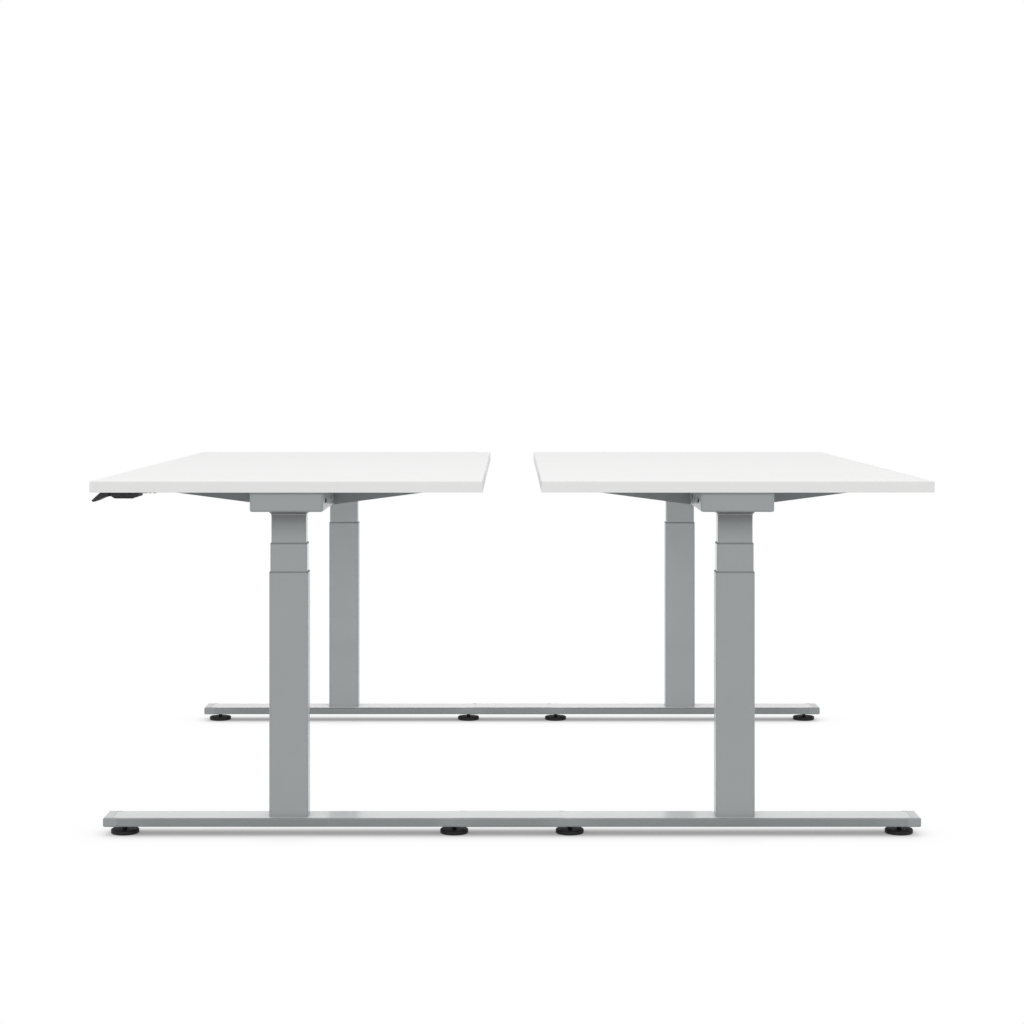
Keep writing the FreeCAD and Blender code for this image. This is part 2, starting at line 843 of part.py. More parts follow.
def crossbar(label, x):
    """A folded bar, open below, that ties the two arms of a desk together."""
    piece = Piece(label)
    half, wall = d.crossbar_width / 2, d.crossbar_wall
    high, low = -d.crossbar_drop, -d.crossbar_drop - d.crossbar_depth
    section = piece.sketch("XZ")
    outline(section, (
        (-half, low), (-half, high), (half, high), (half, low),
        (half - wall, low), (half - wall, high - wall), (wall - half, high - wall), (wall - half, low),
    ))
    piece.pad(section, crossbar_length, both_ways=True)
    for along in (-1, 1):
        plate = piece.sketch("XZ", z=(crossbar_length - d.crossbar_end_plate) / 2 * along)
        rectangle(plate, d.crossbar_width, d.crossbar_depth, y=high - d.crossbar_depth / 2)
        piece.pad(plate, d.crossbar_end_plate, both_ways=True)
    place(piece.body, x, 0, top_underside)
    return piece.body


def screw_places():
    """Where the wood screws of a desk sit, from its middle, and what lies under each head."""
    for along in (-1, 1):
        for hole_x in (d.arm_screw_inner, d.arm_screw_outer):
            for across in (-1, 1):
                yield hole_x * across, arm_line * along, d.arm_wall
    for along in (-1, 1):
        yield -lug_x, lug_line * along, d.control_lug_thickness
        yield handset_screw_x, d.handset_screw_pitch / 2 * along - handset_middle, d.handset_drop / 2


def tabletop(label, x, turned):
    """A top with its upper edges and corners eased and pilot holes for the screws from below."""
    piece = Piece(label)
    board = piece.sketch("XY")
    rectangle(board, d.top_width, d.top_length)
    piece.pad(board, d.top_thickness)
    on_underside = at_height(0)
    piece.fillet(lambda box: not on_underside(box), d.top_edge_round)
    pilots = piece.sketch("XY")
    for hole_x, hole_y, _ in screw_places():
        circle(pilots, d.screw_diameter + d.run_clearance * 2, hole_x, hole_y)
    piece.pocket(pilots, d.pilot_depth, backwards=True)
    place(piece.body, x, 0, top_underside, turned)
    return piece.body


def control_box(label, x, turned):
    """The desk's control box under the top, with its sockets, mains inlet and screw lugs."""
    piece = Piece(label)
    shell = piece.sketch("XY", x=-d.control_offset)
    rounded_rectangle(shell, d.control_width, d.control_length, d.control_round)
    piece.pad(shell, d.control_depth, backwards=True)
    piece.fillet(at_height(-d.control_depth), d.control_bottom_round)
    lugs = piece.sketch("XY", x=-lug_x)
    rectangle(lugs, d.control_lug_width, d.control_length + d.control_lug_length * 2)
    piece.pad(lugs, d.control_lug_thickness, backwards=True)
    holes = piece.sketch("XY", x=-lug_x)
    for along in (-1, 1):
        circle(holes, d.screw_hole, 0, lug_line * along)
    piece.pocket(holes, d.control_lug_thickness)
    front = piece.sketch("XZ", x=-d.lead_run, y=-d.lead_drop, z=d.control_length / 2)
    rectangle(front, d.lead_plug + d.run_clearance * 2, d.lead_plug + d.run_clearance * 2)
    for number in (1, 2):
        rectangle(front, d.socket_width, d.socket_height, d.socket_pitch * number, -d.socket_height)
    piece.pocket(front, d.socket_depth)
    rear = piece.sketch("XZ", x=-d.control_offset, y=d.control_depth / -2, z=d.control_length / -2)
    rectangle(rear, d.inlet_width, d.inlet_height)
    piece.pocket(rear, d.inlet_depth, backwards=True)
    place(piece.body, x, 0, top_underside, turned)
    return piece.body


def handset_housing(label, x, turned):
    """The handset's housing, rounded at its rear corners, with the two ears that the paddle tilts on."""
    piece = Piece(label)
    side = piece.sketch("XZ", x=-housing_front, z=handset_front)
    outline(side, [(d.handset_depth * across, d.handset_drop * -down) for across, down in HOUSING_SHARES])
    piece.pad(side, d.handset_length, backwards=True)
    low = float(d.handset_drop / -2)
    piece.fillet(lambda box: along_handset(box) and box.ZMax < low, d.handset_round)
    corners = piece.sketch("XY", x=-housing_front, y=-handset_middle)
    plan_depth, rim = d.handset_depth * 2, d.overrun * 2
    rectangle(corners, plan_depth + rim, d.handset_length + rim)
    rounded_rectangle(corners, plan_depth, d.handset_length, d.handset_corner)
    piece.pocket(corners, d.handset_drop)
    for along in (-1, 1):
        ear = piece.sketch("XZ", x=-pivot_x, y=-d.pivot_drop, z=handset_middle + d.ear_pitch / 2 * along)
        reach = d.pivot_back - d.handset_setback - d.ear_radius
        rectangle(ear, -reach, d.ear_radius * 2, x=reach / -2)
        piece.pad(ear, d.ear_width, both_ways=True)
        pin = piece.sketch("XZ", x=-pivot_x, y=-d.pivot_drop, z=handset_middle + d.ear_pitch / 2 * along)
        circle(pin, d.pivot_pin)
        piece.pad(pin, d.pivot_pin_length, both_ways=True)
    seats = piece.sketch("XY", x=handset_screw_x, y=-handset_middle, z=-d.handset_drop)
    shanks = piece.sketch("XY", x=handset_screw_x, y=-handset_middle)
    for along in (-1, 1):
        circle(seats, d.screw_head + d.run_clearance * 2, 0, d.handset_screw_pitch / 2 * along)
        circle(shanks, d.screw_hole, 0, d.handset_screw_pitch / 2 * along)
    piece.pocket(seats, d.handset_drop / 2, backwards=True)
    piece.pocket(shanks, d.handset_drop)
    place(piece.body, x, 0, top_underside, turned)
    return piece.body


def handset_paddle(label, x, turned):
    """The handset's tilting paddle, which reaches out under the user's edge."""
    piece = Piece(label)
    tip = user_edge + d.paddle_reach
    side = piece.sketch("XZ", x=-tip, y=-d.paddle_top, z=handset_front)
    outline(side, [(d.paddle_depth * across, d.paddle_drop * -down) for across, down in PADDLE_SHARES])
    piece.pad(side, d.handset_length, backwards=True)
    tip_quarter = float(d.paddle_depth / 4 - tip)
    piece.fillet(lambda box: along_handset(box) and box.XMax < tip_quarter, d.paddle_round)
    for along in (-1, 1):
        middle = handset_middle + d.ear_pitch / 2 * along
        slot = piece.sketch("XZ", x=-pivot_x, y=-d.pivot_drop, z=middle)
        rectangle(slot, d.slot_radius * 2 + d.overrun, d.slot_radius * 2 + d.overrun, x=d.overrun / 2)
        piece.pocket(slot, d.ear_width + d.run_clearance * 2, both_ways=True)
        bore = piece.sketch("XZ", x=-pivot_x, y=-d.pivot_drop, z=middle)
        circle(bore, d.pivot_pin + d.run_clearance * 2)
        piece.pocket(bore, d.pivot_pin_length + d.run_clearance * 2, both_ways=True)
    place(piece.body, x, 0, top_underside, turned)
    return piece.body


def handset_lead(label, x, turned):
    """The lead from the handset's ribbed strain relief, through the arm, to the control box."""
    piece = Piece(label)
    path = piece.sketch("XY", z=-d.lead_drop)
    lead_path(path, (-housing_back, -handset_middle), (lead_bend_x, lead_bend_y), lead_end)
    section = piece.sketch("YZ", x=-handset_middle, y=-d.lead_drop, z=-housing_back)
    circle(section, d.lead_diameter)
    piece.pipe(section, path)
    for first, last in RELIEF_RIB_SHARES:
        rib = piece.sketch("YZ", x=-handset_middle, y=-d.lead_drop, z=d.relief_length * first - housing_back)
        circle(rib, d.relief_diameter)
        piece.pad(rib, d.relief_length * (last - first))
    plug = piece.sketch("XZ", x=-d.lead_run, y=-d.lead_drop, z=d.socket_depth - lead_end)
    rectangle(plug, d.lead_plug, d.lead_plug)
    piece.pad(plug, d.socket_depth * 2 - d.run_clearance, backwards=True)
    place(piece.body, x, 0, top_underside, turned)
    return piece.body


def lead_path(sketch, start, bend, end_y):
    """A straight run, a quarter bend about its centre and a second run, all tangent."""
    bend_x, bend_y = bend
    radius = float(d.lead_bend)
    start_point = Vector(float(start[0]), float(start[1]), 0)
    first_end = Vector(float(bend_x), float(start[1]), 0)
    last_end = Vector(float(bend_x) + radius, float(end_y), 0)
    centre = Vector(float(bend_x), float(bend_y), 0)
    turn = Part.Circle(centre, Vector(0, 0, 1), radius)
    sketch.addGeometry(Part.LineSegment(start_point, first_end))
    sketch.addGeometry(Part.ArcOfCircle(turn, -math.pi / 2, 0))
    sketch.addGeometry(Part.LineSegment(Vector(last_end.x, centre.y, 0), last_end))
    sketch.addConstraint(Sketcher.Constraint("Tangent", 0, 2, 1, 1))
    sketch.addConstraint(Sketcher.Constraint("Tangent", 1, 2, 2, 1))
    sketch.addConstraint(Sketcher.Constraint("Horizontal", 0))
    sketch.addConstraint(Sketcher.Constraint("Vertical", 2))
    fix_point(sketch, (0, 1), *start)
    tie(sketch, "Radius", (1,), d.lead_bend)
    tie(sketch, "DistanceX", (-1, 1, 1, 3), bend_x)
    tie(sketch, "DistanceY", (-1, 1, 2, 2), end_y)


def clip_places():
    """Where the clips of a desk's lead sit, from its middle."""
    arm_outside, arm_inside = d.head_back - column_y, crossbar_length / -2
    for share in BEND_CLIP_SHARES:
        yield -d.lead_run, lead_bend_y + (arm_outside - lead_bend_y) * share
    for share in CONTROL_CLIP_SHARES:
        yield -d.lead_run, arm_inside + (lead_end - arm_inside) * share


def lead_clip(label, x, y):
    """A clip stuck under the top, whose ring holds the lead."""
    piece = Piece(label)
    base = piece.sketch("XZ", y=d.clip_base_thickness / -2)
    rectangle(base, d.clip_base, d.clip_base_thickness)
    piece.pad(base, d.clip_base, both_ways=True)
    neck = piece.sketch("XZ", y=d.lead_drop / -2)
    rectangle(neck, d.clip_neck, d.lead_drop)
    piece.pad(neck, d.clip_width, both_ways=True)
    bore_diameter = d.lead_diameter + d.run_clearance * 2
    ring = piece.sketch("XZ", y=-d.lead_drop)
    circle(ring, bore_diameter + d.clip_wall * 2)
    piece.pad(ring, d.clip_width, both_ways=True)
    bore = piece.sketch("XZ", y=-d.lead_drop)
    circle(bore, bore_diameter)
    piece.pocket(bore, d.clip_width + d.overrun, both_ways=True)
    place(piece.body, x, y, top_underside)
    return piece.body


def screw(label, x, y, z, diameter, length, head, head_height):
    """A screw with its head below and its shank up, standing on the underside of its seat."""
    piece = Piece(label)
    section = piece.sketch("XZ")
    outline(section, (
        (0, -head_height), (head / 2, -head_height), (head / 2, 0),
        (diameter / 2, 0), (diameter / 2, length), (0, length),
    ))
    piece.revolve(section)
    place(piece.body, x, y, z)
    return piece.body


def group(label, members):
    """Several separate solids that share one node."""
    compound = doc.addObject("Part::Compound", label)
    compound.Label = label
    compound.Links = members
    return compound


def build_base():
    """Everything that stays on the floor: both feet, the outer tubes and the spindle posts."""
    parts = []
    rails, caps, collars, posts, screws = [], [], [], [], []
    for desk, end, x, y, _ in column_places():
        name = f"{end}_{desk}"
        rails.append(foot_rail(f"foot_rail_{name}", x, y))
        outward = -1 if desk == "left" else 1
        seam = x + d.rail_length / 2 * outward
        caps.append(foot_end_cap(f"foot_end_cap_{name}", seam, y, desk == "left"))
        parts.append(outer_tube(f"outer_tube_{name}", x, y))
        outside = (d.outer_width, d.outer_depth, d.outer_round)
        inside = (middle_width, middle_depth, middle_round)
        collars.append(tube_collar(f"outer_tube_collar_{name}", x, y, outer_top, outside, inside))
        posts.append(spindle_post(f"spindle_post_{name}", x, y))
        for number, (hole_x, hole_y) in enumerate(four_places(d.base_screw_x, d.base_screw_y)):
            screws.append(screw(
                f"base_screw_{name}_{number}", x + hole_x, y + hole_y, foot_top - d.foot_wall,
                d.base_screw_diameter, d.foot_wall + d.base_plate, d.base_screw_head, d.base_screw_head_height,
            ))
        for side in ("inner", "outer"):
            away = outward if side == "outer" else -outward
            parts.append(levelling_foot(f"levelling_foot_{name}_{side}", x + stud_x * away, y))
    joints = [foot_joint("foot_joint_front", -column_y), foot_joint("foot_joint_rear", column_y)]
    parts.append(group("foot_rails", rails))
    parts.append(group("foot_joints", joints))
    parts.append(group("foot_end_caps", caps))
    parts.append(group("outer_tube_collars", collars))
    parts.append(group("spindle_posts", posts))
    parts.append(group("column_base_screws", screws))
    return parts


def build_columns():
    """The middle and inner stages of the columns, their heads, arms and drives."""
    parts = []
    for desk in DESKS:
        collars, motors, arms = [], [], []
        for column_desk, end, x, y, turned in column_places():
            if column_desk != desk:
                continue
            name = f"{end}_{desk}"
            parts.append(middle_tube(f"middle_tube_{name}", x, y))
            parts.append(inner_tube(f"inner_tube_{name}", x, y))
            parts.append(spindle_tube(f"spindle_tube_{name}", x, y))
            parts.append(drive_shaft(f"drive_shaft_{name}", x, y))
            parts.append(head_box(f"head_box_{name}", x, y, turned))
            outside = (middle_width, middle_depth, middle_round)
            inside = (inner_width, inner_depth, inner_round)
            collars.append(tube_collar(f"middle_tube_collar_{name}", x, y, middle_top, outside, inside))
            motors.append(gear_motor(f"gear_motor_{name}", x, y, turned))
            arms.append(support_arm(f"support_arm_{name}", x, y, turned))
        parts.append(group(f"middle_tube_collars_{desk}", collars))
        parts.append(group(f"gear_motors_{desk}", motors))
        parts.append(group(f"support_arms_{desk}", arms))
    return parts


def build_desks():
    """Each desk's top and what hangs under it; the right desk is the left one turned round."""
    parts = []
    for desk in DESKS:
        turned = desk == "right"
        x = column_x if turned else -column_x
        facing = -1 if turned else 1
        parts.append(tabletop(f"tabletop_{desk}", x, turned))
        parts.append(control_box(f"control_box_{desk}", x, turned))
        parts.append(handset_housing(f"handset_housing_{desk}", x, turned))
        parts.append(handset_paddle(f"handset_paddle_{desk}", x, turned))
        parts.append(handset_lead(f"handset_lead_{desk}", x, turned))
        clips = [lead_clip(f"lead_clip_{desk}_{number}", x + clip_x * facing, clip_y * facing)
                 for number, (clip_x, clip_y) in enumerate(clip_places())]
        parts.append(group(f"lead_clips_{desk}", clips))
        bars = [crossbar(f"crossbar_{desk}_{side}", x + d.crossbar_offset * sign)
                for side, sign in (("a", -1), ("b", 1))]
        parts.append(group(f"crossbars_{desk}", bars))
        screws = []
        for number, (hole_x, hole_y, seat) in enumerate(screw_places()):
            screws.append(screw(
                f"tabletop_screw_{desk}_{number}", x + hole_x * facing, hole_y * facing, top_underside - seat,
                d.screw_diameter, d.screw_length, d.screw_head, d.screw_head_height,
            ))
        parts.append(group(f"tabletop_screws_{desk}", screws))
    return parts


def check(parts):
    """Stops if any object failed or any sub-part has no sound shape."""
    failed = [obj.Label for obj in doc.Objects if {"Invalid", "Error"} & set(obj.State)]
    unsound = [part.Label for part in parts if part.Shape.isNull() or not part.Shape.isValid()]
    if failed or unsound:
        raise ValueError(f"failed: {failed}, unsound: {unsound}")


def main():
    parts = build_base() + build_columns() + build_desks()
    doc.recompute()
    check(parts)
    os.makedirs("parts", exist_ok=True)
    for part in parts:
        part.Shape.exportStep(f"parts/{part.Label}.step")
    print(f"{len(parts)} sub-parts, {sum(len(part.Shape.Solids) for part in parts)} solids")


main()
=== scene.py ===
"""Finishes, small fittings, light and camera for a height-adjustable team desk."""

import json
import logging
import math
from dataclasses import dataclass
from enum import Enum
from itertools import product
from typing import Any, ClassVar, Iterable, Iterator

import bpy
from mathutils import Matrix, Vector


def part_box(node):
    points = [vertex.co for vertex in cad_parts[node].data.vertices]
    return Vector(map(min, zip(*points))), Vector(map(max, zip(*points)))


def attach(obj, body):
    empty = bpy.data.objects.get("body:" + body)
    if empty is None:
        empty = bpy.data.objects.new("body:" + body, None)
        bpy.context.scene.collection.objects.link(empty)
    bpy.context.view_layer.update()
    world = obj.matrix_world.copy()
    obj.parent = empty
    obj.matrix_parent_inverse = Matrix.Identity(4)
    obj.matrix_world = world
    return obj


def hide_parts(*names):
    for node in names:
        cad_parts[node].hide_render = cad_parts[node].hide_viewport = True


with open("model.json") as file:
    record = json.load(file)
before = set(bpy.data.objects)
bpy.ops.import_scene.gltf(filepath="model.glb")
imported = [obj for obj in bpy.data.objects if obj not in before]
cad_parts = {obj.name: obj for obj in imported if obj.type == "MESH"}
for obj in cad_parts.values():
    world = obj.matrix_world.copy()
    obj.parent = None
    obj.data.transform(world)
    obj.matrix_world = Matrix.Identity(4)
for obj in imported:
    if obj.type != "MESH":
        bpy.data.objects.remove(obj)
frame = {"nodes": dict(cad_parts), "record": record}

LOG = logging.getLogger("team_desk")

Colour = tuple[float, float, float]
Point = tuple[float, float, float]
Socket = bpy.types.NodeSocket

STEEL = "bright_steel"
WHITE = (1.0, 1.0, 1.0, 1.0)


class Side(Enum):
    """The two desks of the pair."""

    LEFT = "left"
    RIGHT = "right"

    @property
    def facing(self) -> int:
        """1 for the desk as it is drawn and -1 for the one turned half round."""
        return 1 if self is Side.LEFT else -1


class End(Enum):
    """The two ends of a desk."""

    FRONT = "front"
    REAR = "rear"


class Station(Enum):
    """The two places of the levelling feet under a rail."""

    INNER = "inner"
    OUTER = "outer"


class Recess(Enum):
    """What a screwdriver or key fits into."""

    CROSS = "cross"
    HEXAGON = "hexagon"


class Bench:
    """A node tree with short calls for its nodes and links."""

    def __init__(self, tree: bpy.types.NodeTree) -> None:
        """Starts on an empty tree.

        Args:
            tree: The tree, whose own nodes are removed.
        """
        self.tree = tree
        self.tree.nodes.clear()

    def node(self, kind: str, inputs: dict[Any, Any] | None = None, **settings: Any) -> bpy.types.Node:
        """Adds a node.

        Args:
            kind: The node's type.
            inputs: Values or sockets for its inputs, by name or number.
            settings: Properties of the node itself.

        Returns:
            The new node.
        """
        made = self.tree.nodes.new(kind)
        for name, value in settings.items():
            setattr(made, name, value)
        for key, value in (inputs or {}).items():
            if isinstance(value, Socket):
                self.tree.links.new(value, made.inputs[key])
            else:
                made.inputs[key].default_value = value
        return made

    def maths(self, operation: str, *values: Any) -> Socket:
        """Adds a sum in the tree.

        Args:
            operation: The name of the operation.
            values: Numbers or sockets.

        Returns:
            The result's socket.
        """
        return self.node("ShaderNodeMath", dict(enumerate(values)), operation=operation).outputs[0]


class ShaderBench(Bench):
    """The node tree of one finish, with its shader and output in place."""

    dark_spot: ClassVar[float] = 0.3
    bright_spot: ClassVar[float] = 0.7

    def __init__(self, name: str) -> None:
        """Makes the material.

        Args:
            name: The material's name.
        """
        self.material = bpy.data.materials.new(name)
        self.material.use_nodes = True
        super().__init__(self.material.node_tree)
        self.shader = self.node("ShaderNodeBsdfPrincipled")
        self.node("ShaderNodeOutputMaterial", {"Surface": self.shader.outputs[0]})
        self.place = self.node("ShaderNodeTexCoord").outputs["Object"]

    def axes(self) -> bpy.types.NodeOutputs:
        """Adds the place on the piece as three separate values."""
        return self.node("ShaderNodeSeparateXYZ", {0: self.place}).outputs

    def noise(self, scale: float, detail: float = 2.0, stretch: Point = (1.0, 1.0, 1.0)) -> Socket:
        """Adds a noise over the piece.

        Args:
            scale: Spots to the metre.
            detail: How many finer layers it has.
            stretch: Scale along each axis.

        Returns:
            The noise's value.
        """
        mapped = self.node("ShaderNodeMapping", {"Vector": self.place, "Scale": stretch}).outputs[0]
        inputs = {"Vector": mapped, "Scale": scale, "Detail": detail}
        return self.node("ShaderNodeTexNoise", inputs).outputs["Fac"]

    def around(self, noise: Socket, middle: float, reach: float) -> Socket:
        """Spreads a noise evenly round a middle value.

        Args:
            noise: The noise.
            middle: What its middle tone becomes.
            reach: How far its dark and bright spots go from the middle.

        Returns:
            The spread value.
        """
        limits = {"Value": noise, "From Min": self.dark_spot, "From Max": self.bright_spot}
        tones = {**limits, "To Min": middle - reach, "To Max": middle + reach}
        return self.node("ShaderNodeMapRange", tones).outputs[0]

    def tint(self, colour: Colour, *shades: Socket) -> None:
        """Sets the colour, shaded by one or more values round 1.

        Args:
            colour: The plain colour.
            shades: Values that lighten or darken it.
        """
        shade = shades[0]
        for further in shades[1:]:
            shade = self.maths("MULTIPLY", shade, further)
        inputs = {0: colour, "Scale": shade}
        scaled = self.node("ShaderNodeVectorMath", inputs, operation="SCALE").outputs[0]
        self.tree.links.new(scaled, self.shader.inputs["Base Color"])

    def grain(self, height: Socket, depth: float, strength: float) -> None:
        """Raises the surface by a value.

        Args:
            height: The value.
            depth: How deep the grain is, in metres.
            strength: How strongly it shows.
        """
        inputs = {"Height": height, "Distance": depth, "Strength": strength}
        bumped = self.node("ShaderNodeBump", inputs).outputs[0]
        self.tree.links.new(bumped, self.shader.inputs["Normal"])

    def rough(self, noise: Socket, middle: float, reach: float) -> None:
        """Sets the roughness from a noise, spread evenly round a middle value."""
        self.tree.links.new(self.around(noise, middle, reach), self.shader.inputs["Roughness"])


@dataclass(frozen=True)
class Finish:
    """What every finish has: its name, its colour and its gloss."""

    slot: str
    colour: Colour
    roughness: float
    specular: float = 0.5

    def material(self) -> bpy.types.Material:
        """Builds the finish's material.

        Returns:
            The material, named as the finish.
        """
        bench = ShaderBench(self.slot)
        bench.shader.inputs["Specular IOR Level"].default_value = self.specular
        self.dress(bench)
        return bench.material

    def dress(self, bench: ShaderBench) -> None:
        """Adds what this kind of finish shows; each kind has its own."""
        raise NotImplementedError


@dataclass(frozen=True)
class PowderCoat(Finish):
    """A baked powder coat: a fine orange peel with metal flakes in it."""

    metallic: float = 0.0
    coat: float = 0.0
    coat_roughness: float = 0.06
    sheen: float = 0.0
    sheen_roughness: float = 0.45
    flake: float = 0.05
    flake_scale: float = 2400.0
    cloud: float = 0.015
    cloud_scale: float = 9.0
    peel_scale: float = 620.0
    peel_gloss: float = 0.04
    peel_depth: float = 0.0002
    peel_strength: float = 0.05

    def dress(self, bench: ShaderBench) -> None:
        """Adds the tones of the colour, the gloss and the orange peel.

        Args:
            bench: The finish's node tree.
        """
        peel = bench.noise(self.peel_scale)
        bench.tint(self.colour, *self.shades(bench))
        bench.shader.inputs["Metallic"].default_value = self.metallic
        bench.shader.inputs["Coat Weight"].default_value = self.coat
        bench.shader.inputs["Coat Roughness"].default_value = self.coat_roughness
        bench.shader.inputs["Sheen Weight"].default_value = self.sheen
        bench.shader.inputs["Sheen Roughness"].default_value = self.sheen_roughness
        bench.rough(peel, self.roughness, self.peel_gloss)
        bench.grain(peel, self.peel_depth, self.peel_strength)

    def shades(self, bench: ShaderBench) -> list[Socket]:
        """Makes the cloudy tone and the flakes.

        Args:
            bench: The finish's node tree.

        Returns:
            The values that lighten and darken the colour.
        """
        cloud = bench.around(bench.noise(self.cloud_scale, detail=3.0), 1.0, self.cloud)
        flakes = bench.around(bench.noise(self.flake_scale, detail=1.0), 1.0, self.flake)
        return [cloud, flakes]


@dataclass(frozen=True)
class StageCoat(PowderCoat):
    """The coat of a column's upper stages, with painted shade on the flare and below the lip and a
    painted highlight on the lip, under the head box.
    """

    # Painted shade darkens the coat from shade_foot up to the lip, the lip gets a painted highlight, and
    # the flare above it gets painted shade.
    shade_foot: float = 0.64
    lip_foot: float = 0.6588
    flare_foot: float = 0.6605
    shade_tone: float = 0.54
    lip_highlight: float = 1.28
    flare_shade: float = 0.38

    def shades(self, bench: ShaderBench) -> list[Socket]:
        """Adds the painted shade of the flare and below the lip, and the painted highlight of the lip, to
        the tones of the coat.

        Args:
            bench: The finish's node tree.

        Returns:
            The values that lighten and darken the colour.
        """
        height = bench.axes()[2]
        limits = {"Value": height, "From Min": self.shade_foot, "From Max": self.lip_foot}
        tones = {**limits, "To Min": 1.0, "To Max": self.shade_tone}
        shade = bench.node("ShaderNodeMapRange", tones).outputs[0]
        # Painted highlight on the lip, painted shade on the flare.
        on_lip = bench.maths("GREATER_THAN", height, self.lip_foot)
        on_flare = bench.maths("GREATER_THAN", height, self.flare_foot)
        to_lip = bench.maths("MULTIPLY_ADD", on_lip, self.lip_highlight - self.shade_tone, shade)
        to_flare = bench.maths("MULTIPLY_ADD", on_flare, self.flare_shade - self.lip_highlight, to_lip)
        return super().shades(bench) + [to_flare]


@dataclass(frozen=True)
class RailCoat(PowderCoat):
    """The coat of the feet, with painted light that lightens it towards the levelling feet."""

    outer_foot: float = 0.8005
    inner_foot: float = 0.1195
    reach: float = 0.075
    foot_light: float = 1.17

    def shades(self, bench: ShaderBench) -> list[Socket]:
        """Adds the painted light by the levelling feet to the tones of the coat.

        Args:
            bench: The finish's node tree.

        Returns:
            The values that lighten and darken the colour.
        """
        # Painted light: the coat lightens within reach of each levelling foot.
        across = bench.maths("ABSOLUTE", bench.axes()[0])
        from_outer = bench.maths("ABSOLUTE", bench.maths("SUBTRACT", across, self.outer_foot))
        from_inner = bench.maths("ABSOLUTE", bench.maths("SUBTRACT", across, self.inner_foot))
        limits = {"Value": bench.maths("MINIMUM", from_outer, from_inner), "From Max": self.reach}
        tones = {**limits, "To Min": self.foot_light, "To Max": 1.0}
        painted_foot_light = bench.node("ShaderNodeMapRange", tones, interpolation_type="SMOOTHSTEP").outputs[0]
        return super().shades(bench) + [painted_foot_light]


@dataclass(frozen=True)
class FacedBoard(Finish):
    """A white faced board whose edging meets the face in a hairline."""

    centre_x: float = 0.46
    half_width: float = 0.4
    half_length: float = 0.8
    edging: float = 0.0014
    hairline: float = 0.00025
    hairline_shade: float = 0.12
    mottle: float = 0.008
    mottle_scale: float = 14.0
    pearl_scale: float = 1500.0
    pearl_gloss: float = 0.05
    pearl_depth: float = 0.0001
    pearl_strength: float = 0.08

    def dress(self, bench: ShaderBench) -> None:
        """Adds the faint mottle, the hairline of the edging and the pearl grain.

        Args:
            bench: The finish's node tree.
        """
        axes = bench.axes()
        from_centre = bench.maths("SUBTRACT", bench.maths("ABSOLUTE", axes[0]), self.centre_x)
        across = bench.maths("ABSOLUTE", from_centre)
        along = bench.maths("ABSOLUTE", axes[1])
        from_side = bench.maths("SUBTRACT", self.half_width, across)
        from_end = bench.maths("SUBTRACT", self.half_length, along)
        inset = bench.maths("MINIMUM", from_side, from_end)
        line = bench.maths("COMPARE", inset, self.edging, self.hairline)
        mottle = bench.around(bench.noise(self.mottle_scale, detail=4.0), 1.0, self.mottle)
        bench.tint(self.colour, mottle, bench.maths("MULTIPLY_ADD", line, -self.hairline_shade, 1.0))
        pearl = bench.noise(self.pearl_scale)
        bench.rough(pearl, self.roughness, self.pearl_gloss)
        bench.grain(pearl, self.pearl_depth, self.pearl_strength)


@dataclass(frozen=True)
class MouldedPlastic(Finish):
    """A moulded plastic with the fine texture of its mould."""

    texture: float = 1900.0
    depth: float = 0.00015
    grip: float = 0.2
    texture_tone: float = 0.05
    tone: float = 0.06
    tone_scale: float = 35.0
    gloss: float = 0.06
    gloss_scale: float = 160.0

    def dress(self, bench: ShaderBench) -> None:
        """Adds the mould's texture and a slight unevenness of tone and gloss.

        Args:
            bench: The finish's node tree.
        """
        mould = bench.noise(self.texture, detail=3.0)
        tone = bench.around(bench.noise(self.tone_scale, detail=3.0), 1.0, self.tone)
        bench.tint(self.colour, tone, bench.around(mould, 1.0, self.texture_tone))
        bench.rough(bench.noise(self.gloss_scale), self.roughness, self.gloss)
        bench.grain(mould, self.depth, self.grip)


@dataclass(frozen=True)
class PlatedSteel(Finish):
    """A bright plated steel, turned on a lathe."""

    lines: Point = (1.0, 1.0, 40.0)
    line_scale: float = 60.0
    line_tone: float = 0.04
    line_gloss: float = 0.08
    line_depth: float = 0.00008
    line_strength: float = 0.1
    plating: float = 0.06
    plating_scale: float = 45.0

    def dress(self, bench: ShaderBench) -> None:
        """Adds the lathe's fine lines and the plating's uneven tone.

        Args:
            bench: The finish's node tree.
        """
        turned = bench.noise(self.line_scale, stretch=self.lines)
        plating = bench.around(bench.noise(self.plating_scale), 1.0, self.plating)
        bench.shader.inputs["Metallic"].default_value = 1.0
        bench.tint(self.colour, plating, bench.around(turned, 1.0, self.line_tone))
        bench.rough(turned, self.roughness, self.line_gloss)
        bench.grain(turned, self.line_depth, self.line_strength)


